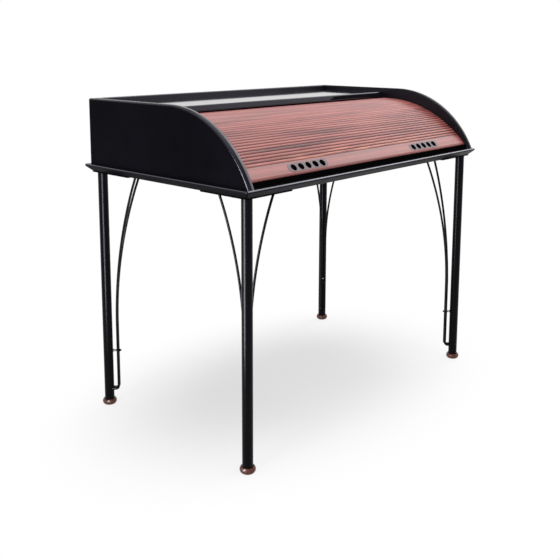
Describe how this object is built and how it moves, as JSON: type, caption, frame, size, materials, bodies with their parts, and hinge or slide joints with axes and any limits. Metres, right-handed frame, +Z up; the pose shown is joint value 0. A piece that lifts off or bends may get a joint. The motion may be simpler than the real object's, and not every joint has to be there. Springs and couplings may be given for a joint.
{
  "type": "roll top secretary desk",
  "caption": "Black secretary desk on round tube legs with bent brace rods; a wooden tambour rolls up and back to open its writing compartment.",
  "frame": {"origin": "on the floor under the middle of the worktop", "axes": "+X to the right of a person who sits at the desk, +Y to the back, +Z up"},
  "size_m": [1.1, 0.662, 0.93],
  "materials": {
    "black_lacquer": "satin black lacquer on board",
    "gloss_black_lacquer": "glossy black lacquer on board",
    "black_steel": "satin black powder coat",
    "tambour_wood": "reddish brown lacquered hardwood",
    "foot_wood": "glossy reddish brown turned wood",
    "tambour_canvas": "plain woven canvas",
    "black_rubber": "matt black",
    "handle_metal": "brushed grey",
    "bright_steel": "bright zinc plate",
    "dowel_beech": "raw beech"
  },
  "bodies": {
    "desk": {"back_panel": "black_lacquer", "brace_clips": "bright_steel", "carcass_dowels": "dowel_beech", "corner_plates": "black_steel", "foot_back_left": "foot_wood", "foot_back_right": "foot_wood", "foot_front_left": "foot_wood", "foot_front_right": "foot_wood", "foot_studs": "bright_steel", "leg_back_left": "black_steel", "leg_back_right": "black_steel", "leg_braces_back_left": "black_steel", "leg_braces_back_right": "black_steel", "leg_braces_front_left": "black_steel", "leg_braces_front_right": "black_steel", "leg_front_left": "black_steel", "leg_front_right": "black_steel", "plate_screws": "bright_steel", "side_panel_left": "black_lacquer", "side_panel_right": "black_lacquer", "top_board": "gloss_black_lacquer", "worktop": "black_lacquer"},
    "roll_top": {"handle_plate_left": "handle_metal", "handle_plate_right": "handle_metal", "rail_closing_strip": "black_rubber", "tambour_canvas": "tambour_canvas", "tambour_rail": "tambour_wood", "tambour_slat_01": "tambour_wood", "tambour_slat_02": "tambour_wood", "tambour_slat_03": "tambour_wood", "tambour_slat_04": "tambour_wood", "tambour_slat_05": "tambour_wood", "tambour_slat_06": "tambour_wood", "tambour_slat_07": "tambour_wood", "tambour_slat_08": "tambour_wood", "tambour_slat_09": "tambour_wood", "tambour_slat_10": "tambour_wood", "tambour_slat_11": "tambour_wood", "tambour_slat_12": "tambour_wood", "tambour_slat_13": "tambour_wood", "tambour_slat_14": "tambour_wood", "tambour_slat_15": "tambour_wood", "tambour_slat_16": "tambour_wood", "tambour_slat_17": "tambour_wood", "tambour_slat_18": "tambour_wood", "tambour_slat_19": "tambour_wood", "tambour_slat_20": "tambour_wood", "tambour_slat_21": "tambour_wood", "tambour_slat_22": "tambour_wood", "tambour_slat_23": "tambour_wood", "tambour_slat_24": "tambour_wood", "tambour_slat_25": "tambour_wood", "tambour_slat_26": "tambour_wood", "tambour_slat_27": "tambour_wood", "tambour_slat_28": "tambour_wood", "tambour_slat_29": "tambour_wood", "tambour_slat_30": "tambour_wood", "tambour_slat_31": "tambour_wood", "tambour_slat_32": "tambour_wood", "tambour_slat_33": "tambour_wood"}
  },
  "joints": [
    {"name": "roll_top_open", "type": "hinge", "parent": "desk", "child": "roll_top", "pos_m": [0, 0, 0.48311], "axis": [-1, 0, 0], "range_deg": [0, 38]}
  ]
}
